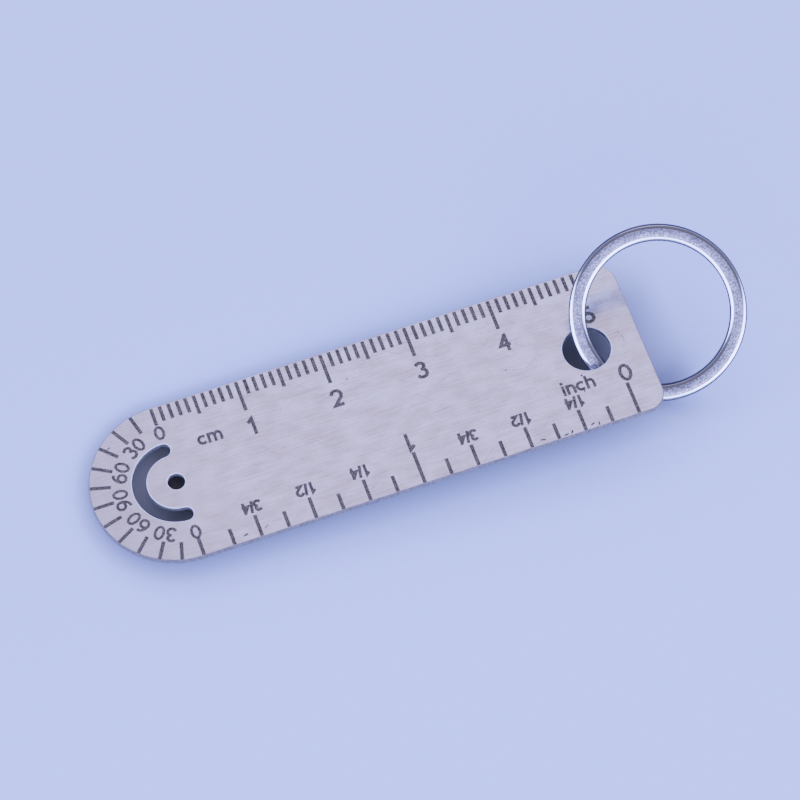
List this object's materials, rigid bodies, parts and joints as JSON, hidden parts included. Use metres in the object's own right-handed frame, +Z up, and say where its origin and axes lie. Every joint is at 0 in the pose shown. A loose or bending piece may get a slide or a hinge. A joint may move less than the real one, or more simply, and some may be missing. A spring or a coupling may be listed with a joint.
{
  "type": "keychain ruler",
  "caption": "Small flat steel ruler with centimetre and inch scales, a half-round protractor end with centre hole and curved slot, and a split key ring.",
  "frame": {"origin": "middle of the small protractor hole, halfway through the plate", "axes": "+X along the ruler towards the key ring, +Y towards the centimetre edge, +Z up from the table the ruler lies on; the plate leans by about 4.5 degrees, as it rests on its round end and on the key ring"},
  "size_m": [0.0767, 0.0196, 0.0112],
  "materials": {
    "plate_steel": "fine brushed along the length, lightly scratched",
    "ring_steel": "polished rounded edges with a frosted flat face",
    "engraving": "dark matt laser engraving"
  },
  "bodies": {
    "ruler": {"ruler_plate": "plate_steel", "centimetre_ticks": "engraving", "centimetre_numbers": "engraving", "inch_ticks": "engraving", "inch_numbers": "engraving", "angle_ticks": "engraving", "angle_numbers": "engraving"},
    "key_ring": {"split_ring": "ring_steel"}
  },
  "joints": [
    {"name": "ring_turn", "type": "hinge", "parent": "ruler", "child": "key_ring", "pos_m": [0.04852, 0.00012, 0.00177], "axis": [0.9532, 0.0842, 0.2905], "range_deg": [0, 118.3]}
  ]
}
